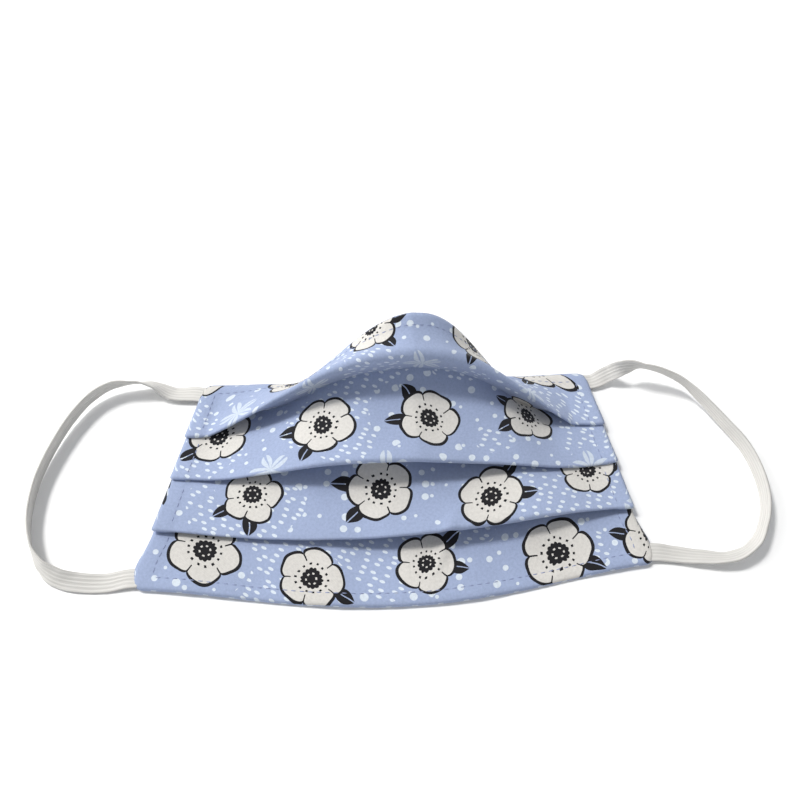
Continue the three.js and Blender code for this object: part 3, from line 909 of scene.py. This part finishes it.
def loopFrames(side):
    route = routes[side]
    outward = route["outward"]
    upper, upperAway = seamExit(side, cloth["height"] - route["upperInset"], outward)
    lower, lowerAway = seamExit(side, route["lowerInset"], outward)
    places = [upper - upperAway * band["sewnIn"], upper + upperAway * band["leadOut"]]
    tilts = [0.0, 0.0]
    for out, up, arch, tilt in route["stations"]:
        lean = math.radians(tilt)
        rest = band["width"] / 2 * math.sin(lean) + band["flatLift"] * abs(math.cos(lean))
        places.append(Vector((
            route["hemEnd"] + outward * route["reach"] * out,
            cloth["height"] * up,
            rest + band["restClearance"] + route["arch"] * arch,
        )))
        tilts.append(lean)
    places += [lower + lowerAway * band["leadOut"], lower - lowerAway * band["sewnIn"]]
    tilts += [0.0, 0.0]
    frames, length, last = [], 0.0, None
    for step in range(band["along"] + 1):
        along = step / band["along"]
        place = curvePoint(places, along)
        near = 0.5 / band["along"]
        way = curvePoint(places, min(1.0, along + near)) - curvePoint(places, max(0.0, along - near))
        way.normalize()
        cell = along * (len(tilts) - 1)
        first = min(int(cell), len(tilts) - 2)
        tilt = mix(tilts[first], tilts[first + 1], smooth(0.0, 1.0, cell - first))
        level = Vector((0, 0, 1)).cross(way).normalized()
        square = way.cross(level)
        widthWay = level * math.cos(tilt) + square * math.sin(tilt)
        length += (place - last).length if last else 0.0
        frames.append((place, widthWay, way.cross(widthWay), length))
        last = place
    return frames


def addLoop(name, side, node):
    frames = loopFrames(side)
    across, along = band["across"], band["along"]
    bm = bmesh.new()
    bmesh.ops.create_grid(bm, x_segments=along, y_segments=across, size=1.0)
    place = {}
    for vert in bm.verts:
        step = round((vert.co.x + 1) / 2 * along)
        share = vert.co.y
        place[vert] = (frames[step][3], share * band["width"] / 2)
        centre, widthWay, thickWay, _ = frames[step]
        rib = band["ribDepth"] * abs(math.cos(math.pi * band["ribs"] * (share + 1) / 2)) ** 0.6
        vert.co = toFrame(centre + widthWay * share * band["width"] / 2
                          + thickWay * (band["thickness"] / 2 - rib))
    uv = bm.loops.layers.uv.new("clothLengths")
    for face in bm.faces:
        for loop in face.loops:
            loop[uv].uv = Vector(place[loop.vert]) * mm
    piece = addPiece(name, meshFrom(bm, name), elastic, node)
    solidify(piece, band["thickness"])


addLoop("earLoopLeft", "left", "ear_loop_left")
addLoop("earLoopRight", "right", "ear_loop_right")
print("ear loops made")

# Floor and light

studio = {
    "floor": "#FCFCFC", "floorReach": 4.0, "lampColour": (1.0, 0.99, 0.97),
    "horizon": 0.95, "zenith": 0.4, "zenithFrom": 0.6,
    "skyColour": (0.95, 0.97, 1.0, 1.0),
    "keyFrom": Vector((-0.6, 0.42, 1.05)), "keyAngle": math.radians(12.0), "keyPower": 2.1,
    "fillFrom": Vector((-0.6, 0.3, 0.5)), "fillSize": 0.5, "fillPower": 3.2,
}


def addLight(name, kind, place, size, power):
    light = bpy.data.objects.new(name, bpy.data.lights.new(name, kind))
    if kind == "SUN":
        light.data.angle = size
    else:
        light.data.shape = "DISK"
        light.data.size = size
    light.data.energy = power
    light.data.color = studio["lampColour"]
    light.location = place
    light.rotation_euler = (-place).to_track_quat("-Z", "Y").to_euler()
    bpy.context.scene.collection.objects.link(light)


def makeStudio():
    bm = bmesh.new()
    bmesh.ops.create_grid(bm, x_segments=1, y_segments=1, size=studio["floorReach"])
    mesh = meshFrom(bm, "floor")
    floor = bpy.data.objects.new("floor", mesh)
    bpy.context.scene.collection.objects.link(floor)
    material, tree = newMaterial("paper backdrop, matt")
    shader = addNode(tree, "ShaderNodeBsdfPrincipled", None,
                     {"Base Color": linear(studio["floor"]), "Roughness": 0.9, "Specular IOR Level": 0.1})
    addNode(tree, "ShaderNodeOutputMaterial", None, {"Surface": shader})
    mesh.materials.append(material)
    world = bpy.data.worlds.new("studio")
    bpy.context.scene.world = world
    world.use_nodes = True
    tree = world.node_tree
    way = splitVector(tree, addNode(tree, "ShaderNodeTexCoord"))
    level = mapRange(tree, way[2], (0.0, studio["zenithFrom"]), (studio["horizon"], studio["zenith"]))
    background = tree.nodes["Background"]
    background.inputs[0].default_value = studio["skyColour"]
    tree.links.new(level, background.inputs[1])
    bpy.context.scene.view_settings.view_transform = "Standard"
    addLight("key", "SUN", studio["keyFrom"], studio["keyAngle"], studio["keyPower"])
    addLight("fill", "AREA", studio["fillFrom"], studio["fillSize"], studio["fillPower"])


makeStudio()
print("studio lit")
